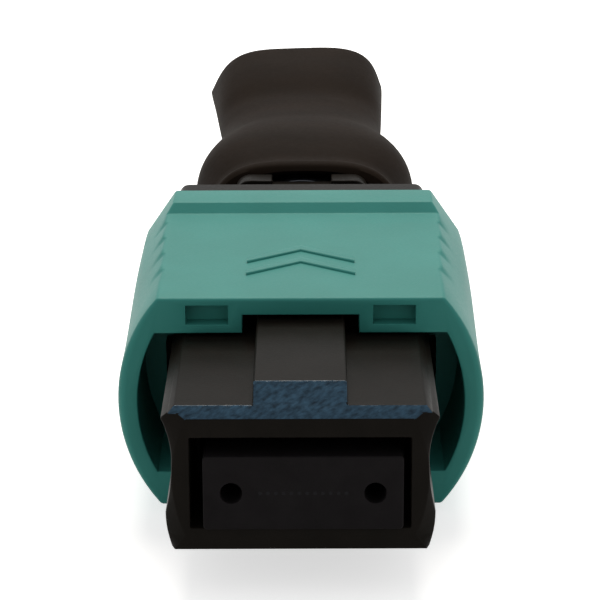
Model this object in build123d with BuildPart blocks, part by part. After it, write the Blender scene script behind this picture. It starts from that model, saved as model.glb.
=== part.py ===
from build123d import *
import os
from math import copysign, cos, pi, sin, sqrt

os.makedirs("parts", exist_ok=True)

# Push-pull multi-fibre plug with a rectangular ferrule, key up, in millimetres.
# The origin is on the plug's axis, in the plane of the ferrule's end face.
# X runs across the plug, Y runs back from the mating end to the boot, Z points up to the key.

# Ferrule
ferrule_width = 6.4
ferrule_height = 2.5
ferrule_length = 8.0
ferrule_edge_radius = 0.12
shoulder_width = 7.0
shoulder_height = 3.0
shoulder_length = 2.0
pin_hole_diameter = 0.7
pin_pitch = 4.6
fibre_hole_diameter = 0.126
fibre_pitch = 0.25
fibre_count = 12
fibre_hole_length = 3.2
pocket_width = 3.6
pocket_height = 1.6
window_width = 3.0
window_length = 2.0
ferrule_float = 0.09

# Plug frame
frame_setback = 0.16
frame_width = 8.9
frame_height = 4.83
frame_back = 19.0
top_flat_width = 8.0
waist_width = 8.2
waist_height = 0.75
lower_width = 8.68
upper_side_bow = 0.1
lower_side_bow = 0.06
lower_height = -1.25
under_side_bow = 0.055
bottom_flat_width = 8.3
nose_barrel_width = 8.18
nose_barrel_radius = 4.82
nose_bevel_length = 0.42
bevel_run_out = 0.1
nose_bevel_top = 2.2
nose_bevel_bottom = -1.92
nose_slope_rise = 0.35
key_width = 3.0
key_height = 0.6
key_back = 12.0
key_edge_radius = 0.08
hook_recess_front = 2.8
hook_recess_length = 3.0
hook_recess_height = 2.4
hook_recess_depth = 0.32

# Cavity of the plug frame
opening_width = 7.07
opening_height = 3.1
opening_drop = 0.12
opening_length = 4.2
aperture_width = 6.7
aperture_top = 1.0
cavity_width = 7.5
cavity_top = 1.6
cavity_floor_clearance = 0.07
latch_window_front = 15.4
latch_window_length = 1.4
latch_window_height = 1.9

# Sleeve stops and spring stops on the sides of the plug frame
stop_length = 0.6
stop_ramp = 0.8
stop_reach = 0.75
stop_height = 1.8
spring_stop_length = 1.0
spring_stop_height = 1.2

# Pin keeper and ferrule boot
keeper_length = 2.2
keeper_window_width = 3.7
keeper_window_height = 1.8
keeper_pin_slot = 0.84
keeper_horn_length = 0.8
keeper_horn_width = 0.4
keeper_horn_height = 0.9
boot_insert_width = 3.5
boot_insert_height = 1.5
boot_insert_length = 5.2
boot_insert_depth = 2.4
ribbon_slot_width = 3.1
ribbon_slot_height = 0.34

# Main spring, an oval coil
main_spring_width = 6.3
main_spring_height = 3.0
main_wire = 0.42
main_turns = 6
main_seat = 17.0

# Coupling springs
coupling_spring_diameter = 1.2
coupling_wire = 0.2
coupling_turns = 8
coupling_spring_front = 12.2
coupling_spring_gap = 0.25
coil_steps = 12

# Coupling sleeve
sleeve_front = 7.0
sleeve_length = 12.2
sleeve_width = 12.66
sleeve_height = 7.6
sleeve_flat_width = 9.8
sleeve_edge_radius = 0.14
sleeve_corner_radius = 0.2
sleeve_travel = 1.6
mouth_width = 11.28
mouth_height = 5.1
mouth_flat_width = 10.0
mouth_length = 4.5
passage_clearance = 0.1
notch_width = 4.0
notch_depth = 0.65
notch_spare = 0.4
face_pocket_width = 1.45
face_pocket_height = 0.72
face_pocket_depth = 0.6
face_pocket_x = 3.2
face_pocket_lip = 0.17
ridge_length = 1.7
ridge_slope_length = 0.35
ridge_height = 0.35
grip_count = 4
grip_pitch = 1.9
grip_first = 3.3
grip_length = 1.3
grip_depth = 0.22
grip_run_out = 0.12
grip_cut_reach = 0.5
spring_pocket_clearance = 0.16

# Back body
body_gap = 0.1
flange_width = 10.6
flange_height = 7.1
flange_flat_width = 8.0
flange_length = 1.2
plug_clearance = 0.1
arm_thickness = 0.3
arm_height = 1.7
arm_front = 15.2
barb_reach = 0.36
barb_gap = 0.1
neck_width = 5.3
neck_height = 5.8
neck_length = 1.6
neck_corner_radius = 0.6
collar_plate_width = 5.4
collar_plate_height = 6.5
collar_plate_length = 1.0
plate_slot_width = 2.4
plate_slot_depth = 0.3
barrel_diameter = 4.9
barrel_length = 6.0
cable_bore_diameter = 3.2
barrel_groove_count = 4
barrel_groove_pitch = 1.1
barrel_groove_depth = 0.12
barrel_groove_width = 0.4

# Crimp ring
ring_gap = 0.1
ring_clearance = 0.05
ring_wall = 0.4
ring_length = 5.4
ring_lip_length = 0.6
ring_lip_height = 0.06

# Strain relief boot: widths and heights of its sections, evenly spaced from the groove to the end
boot_gap = 0.1
boot_clearance = 0.06
boot_end_gap = 0.1
boot_length = 28.3
rim_width = 8.1
rim_height = 7.3
rim_wall = 0.4
rim_length = 0.9
rim_bevel = 0.2
boot_widths = (7.8, 9.2, 8.8, 7.7, 7.5, 7.95, 8.45, 8.95)
boot_heights = (6.95, 7.4, 6.65, 5.3, 4.5, 4.0, 4.15, 4.3)
collar_fullness = 3.3
tail_fullness = 2.5
collar_shift = 0.12
tail_lean = -0.48
mouth_flare_length = 2.2
mouth_seat_width = 5.4
outlet_width = 5.2
outlet_height = 2.6
section_points = 16

# Places worked out from the sizes above
frame_front = frame_setback
opening_floor = -opening_drop - opening_height / 2
running_gap = 0.02
ferrule_z = opening_floor + running_gap + ferrule_height / 2
ferrule_x = ferrule_float
shoulder_front = ferrule_length - shoulder_length
ledge_back = shoulder_front - running_gap
cavity_floor = ferrule_z - shoulder_height / 2 - cavity_floor_clearance
cavity_mid = (cavity_top + cavity_floor) / 2
cavity_height = cavity_top - cavity_floor
keeper_back = ferrule_length + keeper_length
passage_width = frame_width + 2 * passage_clearance
coupling_spring_x = waist_width / 2 + coupling_spring_gap + coupling_spring_diameter / 2
sleeve_back = sleeve_front + sleeve_length
spring_stop_front = frame_back - spring_stop_length
flange_front = sleeve_back + sleeve_travel + body_gap
flange_back = flange_front + flange_length
neck_back = flange_back + neck_length
plate_back = neck_back + collar_plate_length
barrel_back = plate_back + barrel_length
ring_inner = barrel_diameter / 2 + ring_clearance
ring_outer = ring_inner + ring_wall
ring_front = plate_back + ring_gap
boot_front = plate_back + boot_gap
boot_back = boot_front + boot_length
boot_bore = ring_outer + boot_clearance
boot_bore_back = barrel_back + boot_end_gap


def across(y):
    """Plane across the plug, y behind the ferrule's end face, with its own Y pointing up."""
    return Plane.XZ.offset(-y)


def barrel_outline(width, height, flat_width):
    """Flat top and bottom, joined by two bowed sides."""
    half, flat, bow = height / 2, flat_width / 2, width / 2
    Line((-flat, half), (flat, half))
    ThreePointArc((flat, half), (bow, 0), (flat, -half))
    Line((flat, -half), (-flat, -half))
    ThreePointArc((-flat, -half), (-bow, 0), (-flat, half))


def grip_outline(side, depth):
    """Outline beside the sleeve whose inner edge stands inside its side by a depth at top and bottom."""
    half, high = sleeve_height / 2, sleeve_height / 2 + grip_cut_reach
    inside, middle = side * (sleeve_flat_width / 2 - depth), side * (sleeve_width / 2 + grip_run_out)
    outside = middle + side * grip_cut_reach
    ThreePointArc((inside, half), (middle, 0), (inside, -half))
    Polyline((inside, -half), (inside, -high), (outside, -high))
    Polyline((outside, -high), (outside, high), (inside, high), (inside, half))


def nose_x(z):
    """Half width of the nose's bowed front face at a height."""
    centre = nose_barrel_width / 2 - nose_barrel_radius
    return centre + sqrt(nose_barrel_radius**2 - z**2)


def coil_points(turns, steps, half_width, half_height, start, end, centre):
    """Points of a coil along Y, round or oval, from start to end."""
    count = turns * steps
    points = []
    for i in range(count + 1):
        angle = 2 * pi * i / steps
        x = centre[0] + half_width * cos(angle)
        z = centre[1] + half_height * sin(angle)
        points.append((x, start + (end - start) * i / count, z))
    return points


def oval_section(y, width, height, fullness=2.0, shift=0.0):
    """Smooth oval across the plug, an ellipse at fullness 2 and squarer above it."""
    points = []
    for i in range(section_points):
        c, s = cos(2 * pi * i / section_points), sin(2 * pi * i / section_points)
        x = shift + width / 2 * copysign(abs(c) ** (2 / fullness), c)
        points.append((x, height / 2 * copysign(abs(s) ** (2 / fullness), s)))
    with BuildSketch(across(y)) as section:
        with BuildLine():
            Spline(*points, periodic=True)
        make_face()
    return section.sketch


# Ferrule: a flat block with a shoulder behind, pin holes right through, and a row of fibre holes
# that end in a window and a pocket for the rubber insert.
with BuildPart() as mt_ferrule:
    with BuildSketch(across(0)):
        with Locations((ferrule_x, ferrule_z)):
            RectangleRounded(ferrule_width, ferrule_height, ferrule_edge_radius)
    extrude(amount=-ferrule_length)
    with BuildSketch(across(shoulder_front)):
        with Locations((ferrule_x, ferrule_z)):
            RectangleRounded(shoulder_width, shoulder_height, ferrule_edge_radius)
    extrude(amount=-shoulder_length)
    with BuildSketch(across(fibre_hole_length)):
        with Locations((ferrule_x, ferrule_z)):
            Rectangle(pocket_width, pocket_height)
    extrude(amount=fibre_hole_length - ferrule_length, mode=Mode.SUBTRACT)
    with BuildSketch(Plane.XY.offset(ferrule_z)):
        with Locations((ferrule_x, fibre_hole_length + window_length / 2)):
            Rectangle(window_width, window_length)
    extrude(amount=shoulder_height, mode=Mode.SUBTRACT)
    with BuildSketch(across(0)):
        with Locations((ferrule_x, ferrule_z)):
            with GridLocations(pin_pitch, 1, 2, 1):
                Circle(pin_hole_diameter / 2)
    extrude(amount=-ferrule_length, mode=Mode.SUBTRACT)
    with BuildSketch(across(0)):
        with Locations((ferrule_x, ferrule_z)):
            with GridLocations(fibre_pitch, 1, fibre_count, 1):
                Circle(fibre_hole_diameter / 2)
    extrude(amount=-fibre_hole_length, mode=Mode.SUBTRACT)
mt_ferrule.part.label = "mt_ferrule"
export_step(mt_ferrule.part, "parts/mt_ferrule.step")

# Rubber insert: fills the ferrule's pocket and holds the fibre ribbon in its slot
insert_front = ferrule_length - boot_insert_depth
with BuildPart() as ferrule_boot:
    with BuildSketch(across(insert_front)):
        with Locations((ferrule_x, ferrule_z)):
            RectangleRounded(boot_insert_width, boot_insert_height, boot_insert_height / 4)
            Rectangle(ribbon_slot_width, ribbon_slot_height, mode=Mode.SUBTRACT)
    extrude(amount=-boot_insert_length)
ferrule_boot.part.label = "ferrule_boot"
export_step(ferrule_boot.part, "parts/ferrule_boot.step")

# Pin keeper: a plate behind the shoulder, open for the insert, slotted from its ends for the pins, with
# two horns inside the main spring
pin_slot_length = (shoulder_width - pin_pitch + keeper_pin_slot) / 2
with BuildPart() as pin_keeper:
    with BuildSketch(across(ferrule_length)):
        with Locations((ferrule_x, ferrule_z)):
            RectangleRounded(shoulder_width, shoulder_height, ferrule_edge_radius)
            Rectangle(keeper_window_width, keeper_window_height, mode=Mode.SUBTRACT)
            with GridLocations(pin_pitch + pin_slot_length - keeper_pin_slot, 1, 2, 1):
                Rectangle(pin_slot_length, keeper_pin_slot, mode=Mode.SUBTRACT)
    extrude(amount=-keeper_length)
    with BuildSketch(across(keeper_back)):
        with Locations((ferrule_x, ferrule_z)):
            with GridLocations(keeper_window_width + keeper_horn_width, 1, 2, 1):
                Rectangle(keeper_horn_width, keeper_horn_height)
    extrude(amount=-keeper_horn_length)
pin_keeper.part.label = "pin_keeper"
export_step(pin_keeper.part, "parts/pin_keeper.step")

# Main spring: an oval coil between the keeper and the back body, in six-sided wire and short runs
main_wire_gap = main_wire / 2
with BuildPart() as main_spring:
    with BuildLine():
        main_coil = Polyline(
            *coil_points(
                main_turns,
                coil_steps,
                (main_spring_width - main_wire) / 2,
                (main_spring_height - main_wire) / 2,
                keeper_back + main_wire_gap + running_gap,
                main_seat - main_wire_gap - running_gap,
                (ferrule_x, ferrule_z),
            )
        )
    with BuildSketch(Plane(origin=main_coil @ 0, z_dir=main_coil % 0)):
        RegularPolygon(main_wire / 2, 6)
    sweep(transition=Transition.RIGHT)
main_spring.part.label = "main_spring"
export_step(main_spring.part, "parts/main_spring.step")

# Plug frame: outline across the plug, the same along its length
frame_top = frame_height / 2
corner_height = frame_top - (frame_width - top_flat_width) / 2
with BuildPart() as plug_frame:
    with BuildSketch(across(frame_front)):
        with BuildLine():
            upper_mid = (corner_height + waist_height) / 2
            lower_mid = (lower_height + waist_height) / 2
            Polyline((0, frame_top), (top_flat_width / 2, frame_top), (frame_width / 2, corner_height))
            ThreePointArc(
                (frame_width / 2, corner_height),
                (waist_width / 2 + upper_side_bow, upper_mid),
                (waist_width / 2, waist_height),
            )
            ThreePointArc(
                (waist_width / 2, waist_height),
                (waist_width / 2 + lower_side_bow, lower_mid),
                (lower_width / 2, lower_height),
            )
            ThreePointArc(
                (lower_width / 2, lower_height),
                ((lower_width + bottom_flat_width) / 4 + under_side_bow, (lower_height - frame_top) / 2),
                (bottom_flat_width / 2, -frame_top),
            )
            Polyline((bottom_flat_width / 2, -frame_top), (0, -frame_top), (0, frame_top))
        make_face()
        mirror(about=Plane.YZ)
    extrude(amount=frame_front - frame_back)

    # Key along the top
    with BuildSketch(Plane.XY):
        with Locations((0, (frame_front + key_back) / 2)):
            Rectangle(key_width, key_back - frame_front)
    extrude(amount=frame_top + key_height)
    fillet(plug_frame.edges().filter_by(Axis.Y).group_by(Axis.Z)[-1], key_edge_radius)

    # Slope across the top of the nose, which runs on up the end of the key
    slope_length = nose_slope_rise + key_height
    with BuildSketch(Plane.YZ):
        with BuildLine():
            Polyline(
                (frame_front, frame_top - nose_slope_rise),
                (frame_front + slope_length, frame_top + key_height),
                (frame_front, frame_top + key_height),
                close=True,
            )
        make_face()
    extrude(amount=frame_width / 2, both=True, mode=Mode.SUBTRACT)

    # Bowed bevels down both sides of the nose, which run out to its bottom corners
    for side in (-1, 1):
        low, high, foot = nose_bevel_bottom, nose_bevel_top, -frame_top
        middle = (low + high) / 2
        front_foot = side * (bottom_flat_width / 2 - bevel_run_out)
        back_foot = side * (bottom_flat_width + bevel_run_out) / 2
        edge = side * frame_width / 2
        outside = side * (max(frame_width, bottom_flat_width) / 2 + bevel_run_out)
        with BuildSketch(across(frame_front)):
            with BuildLine():
                ThreePointArc(
                    (side * nose_x(low), low), (side * nose_x(middle), middle), (side * nose_x(high), high)
                )
                Polyline(
                    (side * nose_x(high), high),
                    (outside, high),
                    (outside, foot),
                    (front_foot, foot),
                    (side * nose_x(low), low),
                )
            make_face()
        with BuildSketch(across(frame_front + nose_bevel_length)):
            with BuildLine():
                Polyline(
                    (edge, low),
                    (edge, high),
                    (outside, high),
                    (outside, foot),
                    (back_foot, foot),
                    close=True,
                )
            make_face()
        loft(ruled=True, mode=Mode.SUBTRACT)

    # Front opening, the narrower aperture that stops the ferrule's shoulder, and the cavity behind
    with BuildSketch(across(frame_front)):
        with Locations((0, -opening_drop)):
            Rectangle(opening_width, opening_height)
    extrude(amount=-opening_length, mode=Mode.SUBTRACT)
    with BuildSketch(across(frame_front)):
        with Locations((0, (opening_floor + aperture_top) / 2)):
            Rectangle(aperture_width, aperture_top - opening_floor)
    extrude(amount=frame_front - ledge_back, mode=Mode.SUBTRACT)
    with BuildSketch(across(ledge_back)):
        with Locations((0, cavity_mid)):
            Rectangle(cavity_width, cavity_height)
    extrude(amount=ledge_back - frame_back, mode=Mode.SUBTRACT)

    # Recesses for the adapter's hooks, and windows for the back body's latches
    for side in (-1, 1):
        with BuildSketch(Plane.XY):
            with Locations((side * waist_width / 2, hook_recess_front + hook_recess_length / 2)):
                Rectangle(2 * hook_recess_depth, hook_recess_length)
        extrude(amount=hook_recess_height / 2, both=True, mode=Mode.SUBTRACT)
        with BuildSketch(Plane.XY.offset(cavity_mid)):
            with Locations((side * frame_width / 2, latch_window_front + latch_window_length / 2)):
                Rectangle(frame_width - cavity_width, latch_window_length)
        extrude(amount=latch_window_height / 2, both=True, mode=Mode.SUBTRACT)

    # Ramped stops that hold the sleeve against its springs, and ears behind the springs
    stop_back = sleeve_front + mouth_length - running_gap
    for side in (-1, 1):
        root, reach = side * cavity_width / 2, side * (waist_width / 2 + stop_reach)
        with BuildSketch(Plane.XY):
            with BuildLine():
                Polyline(
                    (root, stop_back - stop_length - stop_ramp),
                    (reach, stop_back - stop_length),
                    (reach, stop_back),
                    (root, stop_back),
                    close=True,
                )
            make_face()
        extrude(amount=stop_height / 2, both=True)
        ear_reach = coupling_spring_x + coupling_spring_diameter / 2
        with BuildSketch(Plane.XY):
            with Locations((side * (cavity_width / 2 + ear_reach) / 2, frame_back - spring_stop_length / 2)):
                Rectangle(ear_reach - cavity_width / 2, spring_stop_length)
        extrude(amount=spring_stop_height / 2, both=True)
plug_frame.part.label = "plug_frame"
export_step(plug_frame.part, "parts/plug_frame.step")

# Coupling springs, one in a pocket on each side of the sleeve
for side, name in ((-1, "coupling_spring_left"), (1, "coupling_spring_right")):
    with BuildPart() as coupling_spring:
        with BuildLine():
            small_coil = Polyline(
                *coil_points(
                    coupling_turns,
                    coil_steps,
                    (coupling_spring_diameter - coupling_wire) / 2,
                    (coupling_spring_diameter - coupling_wire) / 2,
                    coupling_spring_front + coupling_wire / 2 + running_gap,
                    spring_stop_front - coupling_wire / 2 - running_gap,
                    (side * coupling_spring_x, 0),
                )
            )
        with BuildSketch(Plane(origin=small_coil @ 0, z_dir=small_coil % 0)):
            RegularPolygon(coupling_wire / 2, 6)
        sweep(transition=Transition.RIGHT)
    coupling_spring.part.label = name
    export_step(coupling_spring.part, f"parts/{name}.step")

# Coupling sleeve: a barrel with bowed sides, a ridge round its back edge and grip steps on its sides
with BuildPart() as coupling_sleeve:
    with BuildSketch(across(sleeve_front)):
        with BuildLine():
            barrel_outline(sleeve_width, sleeve_height, sleeve_flat_width)
        make_face()
    extrude(amount=-sleeve_length)
    fillet(coupling_sleeve.edges().filter_by(Axis.Y), sleeve_corner_radius)
    with BuildSketch(across(sleeve_back - ridge_length - ridge_slope_length)):
        with BuildLine():
            barrel_outline(sleeve_width, sleeve_height, sleeve_flat_width)
        make_face()
    with BuildSketch(across(sleeve_back - ridge_length)):
        with BuildLine():
            barrel_outline(sleeve_width, sleeve_height + 2 * ridge_height, sleeve_flat_width)
        make_face()
    loft(ruled=True)
    with BuildSketch(across(sleeve_back - ridge_length)):
        with BuildLine():
            barrel_outline(sleeve_width, sleeve_height + 2 * ridge_height, sleeve_flat_width)
        make_face()
    extrude(amount=-ridge_length)
    for side in (-1, 1):
        for i in range(grip_count):
            step = sleeve_front + grip_first + i * grip_pitch
            for y, depth in ((step - grip_length, -grip_run_out), (step, grip_depth)):
                with BuildSketch(across(y)):
                    with BuildLine():
                        grip_outline(side, depth)
                    make_face()
            loft(ruled=True, mode=Mode.SUBTRACT)
    fillet(coupling_sleeve.faces().sort_by(Axis.Y)[0].outer_wire().edges(), sleeve_edge_radius)
    fillet(coupling_sleeve.faces().sort_by(Axis.Y)[-1].outer_wire().edges(), sleeve_edge_radius)

    # Mouth, passage for the plug frame and notch for its key
    with BuildSketch(across(sleeve_front)):
        with BuildLine():
            barrel_outline(mouth_width, mouth_height, mouth_flat_width)
        make_face()
    extrude(amount=-mouth_length, mode=Mode.SUBTRACT)
    with BuildSketch(across(sleeve_front)):
        Rectangle(passage_width, mouth_height)
    extrude(amount=-sleeve_length, mode=Mode.SUBTRACT)
    notch_length = key_back + notch_spare - sleeve_front
    with BuildSketch(Plane.XY):
        with Locations((0, sleeve_front + notch_length / 2)):
            Rectangle(notch_width, notch_length)
    extrude(amount=mouth_height / 2 + notch_depth, mode=Mode.SUBTRACT)

    # Spring pockets, closed in front and open at the back, and moulding pockets beside the notch
    pocket_reach = coupling_spring_x + coupling_spring_diameter / 2 + spring_pocket_clearance
    pocket_length = sleeve_back - coupling_spring_front
    face_pocket_z = sleeve_height / 2 - face_pocket_lip - face_pocket_height / 2
    for side in (-1, 1):
        with BuildSketch(Plane.XY):
            with Locations((side * pocket_reach / 2, sleeve_back - pocket_length / 2)):
                Rectangle(pocket_reach, pocket_length)
        extrude(
            amount=coupling_spring_diameter / 2 + spring_pocket_clearance, both=True, mode=Mode.SUBTRACT
        )
        with BuildSketch(across(sleeve_front)):
            with Locations((side * face_pocket_x, face_pocket_z)):
                Rectangle(face_pocket_width, face_pocket_height)
        extrude(amount=-face_pocket_depth, mode=Mode.SUBTRACT)
coupling_sleeve.part.label = "coupling_sleeve"
export_step(coupling_sleeve.part, "parts/coupling_sleeve.step")

# Back body: a plug with two latch arms inside the frame, then a flange, a neck, a
# slotted collar plate and a barrel
arm_face = cavity_width / 2 - plug_clearance
with BuildPart() as back_body:
    with BuildSketch(across(main_seat)):
        with Locations((0, cavity_mid)):
            Rectangle(cavity_width - 2 * plug_clearance, cavity_height - 2 * plug_clearance)
    extrude(amount=main_seat - frame_back)
    with BuildSketch(across(frame_back)):
        Rectangle(frame_width, frame_height)
    extrude(amount=frame_back - flange_front)
    with BuildSketch(across(flange_front)):
        with BuildLine():
            barrel_outline(flange_width, flange_height, flange_flat_width)
        make_face()
    extrude(amount=-flange_length)
    with BuildSketch(across(flange_back)):
        RectangleRounded(neck_width, neck_height, neck_corner_radius)
    extrude(amount=-neck_length)
    with BuildSketch(across(neck_back)):
        RectangleRounded(collar_plate_width, collar_plate_height, neck_corner_radius)
        with GridLocations(1, collar_plate_height, 1, 2):
            Rectangle(plate_slot_width, 2 * plate_slot_depth, mode=Mode.SUBTRACT)
    extrude(amount=-collar_plate_length)
    with BuildSketch(across(plate_back)):
        Circle(barrel_diameter / 2)
    extrude(amount=-barrel_length)
    for side in (-1, 1):
        inner, outer = side * (arm_face - arm_thickness), side * arm_face
        with BuildSketch(Plane.XY.offset(cavity_mid)):
            with BuildLine():
                Polyline(
                    (inner, arm_front),
                    (outer, arm_front),
                    (outer, latch_window_front + barb_gap),
                    (outer + side * barb_reach, latch_window_front + latch_window_length - barb_gap),
                    (outer, latch_window_front + latch_window_length - barb_gap),
                    (outer, main_seat),
                    (inner, main_seat),
                    close=True,
                )
            make_face()
        extrude(amount=arm_height / 2, both=True)
    with BuildSketch(across(main_seat)):
        Circle(cable_bore_diameter / 2)
    extrude(amount=main_seat - barrel_back, mode=Mode.SUBTRACT)
    for i in range(barrel_groove_count):
        with BuildSketch(across(plate_back + (i + 1) * barrel_groove_pitch)):
            Circle(barrel_diameter / 2)
            Circle(barrel_diameter / 2 - barrel_groove_depth, mode=Mode.SUBTRACT)
        extrude(amount=-barrel_groove_width, mode=Mode.SUBTRACT)
back_body.part.label = "back_body"
export_step(back_body.part, "parts/back_body.step")

# Crimp ring: a thin tube with a flared front lip
with BuildPart() as crimp_ring:
    with BuildSketch(Plane.XY):
        with BuildLine():
            Polyline(
                (ring_inner, ring_front),
                (ring_outer + ring_lip_height, ring_front),
                (ring_outer + ring_lip_height, ring_front + ring_lip_length / 2),
                (ring_outer, ring_front + ring_lip_length),
                (ring_outer, ring_front + ring_length),
                (ring_inner, ring_front + ring_length),
                close=True,
            )
        make_face()
    revolve(axis=Axis.Y)
crimp_ring.part.label = "crimp_ring"
export_step(crimp_ring.part, "parts/crimp_ring.step")

# Strain relief boot: a round collar over the crimp ring that flattens into a wide tail
boot_sections = []
last = len(boot_widths) - 1
for i, (width, height) in enumerate(zip(boot_widths, boot_heights)):
    share = i / last
    y = boot_front + rim_length / 2 + share * (boot_length - rim_length / 2)
    fullness = collar_fullness + share * (tail_fullness - collar_fullness)
    boot_sections.append(oval_section(y, width, height, fullness, collar_shift + share**2 * tail_lean))
rim_sections = []
for distance, inset in ((0, rim_bevel), (rim_bevel, 0), (rim_length - rim_bevel, 0), (rim_length, rim_bevel)):
    size = (rim_width - 2 * inset, rim_height - 2 * inset)
    rim_sections.append(oval_section(boot_front + distance, *size, collar_fullness, collar_shift))
with BuildPart() as strain_relief_boot:
    loft(boot_sections)
    loft(rim_sections, ruled=True)

    # Mouth that narrows to the ring, bore over ring and barrel, and flat way out for the cable
    with BuildSketch(across(boot_front)):
        Circle(boot_bore)
    extrude(amount=boot_front - boot_bore_back, mode=Mode.SUBTRACT)
    mouth_size = (rim_width - 2 * rim_wall, rim_height - 2 * rim_wall)
    mouth = oval_section(boot_front, *mouth_size, collar_fullness, collar_shift)
    seat = oval_section(boot_front + mouth_flare_length, mouth_seat_width, mouth_seat_width)
    loft([mouth, seat], mode=Mode.SUBTRACT)
    inlet = oval_section(boot_bore_back, outlet_width, outlet_height)
    outlet = oval_section(boot_back, outlet_width, outlet_height, shift=collar_shift + tail_lean)
    loft([inlet, outlet], mode=Mode.SUBTRACT)
strain_relief_boot.part.label = "strain_relief_boot"
export_step(strain_relief_boot.part, "parts/strain_relief_boot.step")
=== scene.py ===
"""Looks of a push-pull multi-fibre plug, key up: its sleeve, frame, ferrule, boot and springs as smooth
moulded and drawn parts, the finish of every piece, and a pale studio. Shapes are worked in millimetres, and
each mesh is turned to metres once it is finished."""

import math
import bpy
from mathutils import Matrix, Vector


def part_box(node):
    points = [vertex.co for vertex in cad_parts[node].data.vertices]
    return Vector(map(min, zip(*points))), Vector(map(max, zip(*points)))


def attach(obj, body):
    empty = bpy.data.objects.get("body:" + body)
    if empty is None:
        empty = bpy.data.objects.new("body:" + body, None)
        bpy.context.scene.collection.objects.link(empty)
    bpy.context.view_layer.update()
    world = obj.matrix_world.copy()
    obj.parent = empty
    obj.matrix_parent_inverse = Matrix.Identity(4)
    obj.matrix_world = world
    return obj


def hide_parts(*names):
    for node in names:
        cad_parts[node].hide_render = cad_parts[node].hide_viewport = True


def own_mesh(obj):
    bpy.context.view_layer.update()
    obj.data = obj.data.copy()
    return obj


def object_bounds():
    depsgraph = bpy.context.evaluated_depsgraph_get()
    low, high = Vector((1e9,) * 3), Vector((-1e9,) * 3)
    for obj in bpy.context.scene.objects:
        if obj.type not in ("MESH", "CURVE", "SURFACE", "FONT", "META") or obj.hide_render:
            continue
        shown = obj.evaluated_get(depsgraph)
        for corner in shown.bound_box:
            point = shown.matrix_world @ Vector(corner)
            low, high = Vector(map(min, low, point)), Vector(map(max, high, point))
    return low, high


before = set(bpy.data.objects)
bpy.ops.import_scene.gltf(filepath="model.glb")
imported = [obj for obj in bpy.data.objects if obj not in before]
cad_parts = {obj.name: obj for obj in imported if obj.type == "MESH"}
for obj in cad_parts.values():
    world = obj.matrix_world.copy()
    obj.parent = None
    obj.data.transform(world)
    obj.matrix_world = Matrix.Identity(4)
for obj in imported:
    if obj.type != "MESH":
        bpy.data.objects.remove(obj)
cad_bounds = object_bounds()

from types import SimpleNamespace

import bmesh
import bpy
from bpy.props import FloatProperty, FloatVectorProperty, IntProperty, PointerProperty
from mathutils import Matrix, Vector

bl_info = {
    "name": "Multi-fibre plug",
    "version": (1, 0, 0),
    "blender": (4, 5, 0),
    "location": "3D View > Sidebar > Plug",
    "description": "Builds and finishes a push-pull multi-fibre plug around its packed frame",
    "category": "Object",
}

MM = 0.001
# How far a cutter reaches past the face that it opens
PAST = 1.0


def linear(code):
    """Linear colour of an sRGB hex value."""
    parts = [int(code[i : i + 2], 16) / 255 for i in (0, 2, 4)]
    return tuple(v / 12.92 if v <= 0.04045 else ((v + 0.055) / 1.055) ** 2.4 for v in parts)


def rgba(tone):
    return (*tone, 1.0)


def corners(node):
    """Lowest and highest corner of a packed node, in millimetres."""
    low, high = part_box(node)
    return low / MM, high / MM


def sizes_of(group):
    """The values of a property group by name, with its lengths in millimetres."""
    sizes = {}
    for name in type(group).__annotations__:
        value = getattr(group, name)
        is_length = group.bl_rna.properties[name].unit == "LENGTH"
        sizes[name] = value / MM if is_length else value
    return SimpleNamespace(**sizes)


def per_metre(size):
    """Texture scale whose features are about this many millimetres across."""
    return 1 / (size * MM)


def smooth_value(values, place):
    """Value between evenly spaced ones, on a smooth curve through them."""
    i = min(int(place), len(values) - 2)
    t = place - i
    a, b = values[i], values[i + 1]
    before, after = values[max(i - 1, 0)], values[min(i + 2, len(values) - 1)]
    slope_a, slope_b = (b - before) / 2, (after - a) / 2
    return (
        (2 * t**3 - 3 * t**2 + 1) * a
        + (t**3 - 2 * t**2 + t) * slope_a
        + (-2 * t**3 + 3 * t**2) * b
        + (t**3 - t**2) * slope_b
    )


# Outlines across the plug, as points (x, z)


def bowed_x(z, flat, half, bow):
    """Half width of a bowed side at height z, from flat at the height half out to bow at mid height."""
    rise = bow - flat
    radius = (half**2 + rise**2) / (2 * rise)
    return bow - radius + math.sqrt(max(radius**2 - z**2, 0))


def barrel(half, corner, side):
    """Clockwise outline, flat at a half height above and below, with sides that stand side(z) from the middle
    and a rounding between them."""
    corner_steps, side_steps, flat_steps = 6, 16, 12
    near_corner, inset = 0.04, 0.6
    top_end, start = side(half), half - corner
    edge = top_end - corner
    right = [(edge - near_corner, half), (edge, half)]
    for i in range(1, corner_steps):
        t = i / corner_steps
        a, b, c = (1 - t) ** 2, 2 * t * (1 - t), t**2
        right.append((a * edge + b * top_end + c * side(start), (a + b) * half + c * start))
    right += [(side(z), z) for z in (start * (1 - i / side_steps) for i in range(side_steps + 1))]
    right += [(x, -z) for x, z in reversed(right[:-1])]
    inner = top_end - inset
    across = [inner - 2 * inner * i / flat_steps for i in range(flat_steps + 1)]
    left = [(-x, z) for x, z in reversed(right)]
    return right + [(x, -half) for x in across] + left + [(-x, half) for x in across]


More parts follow.
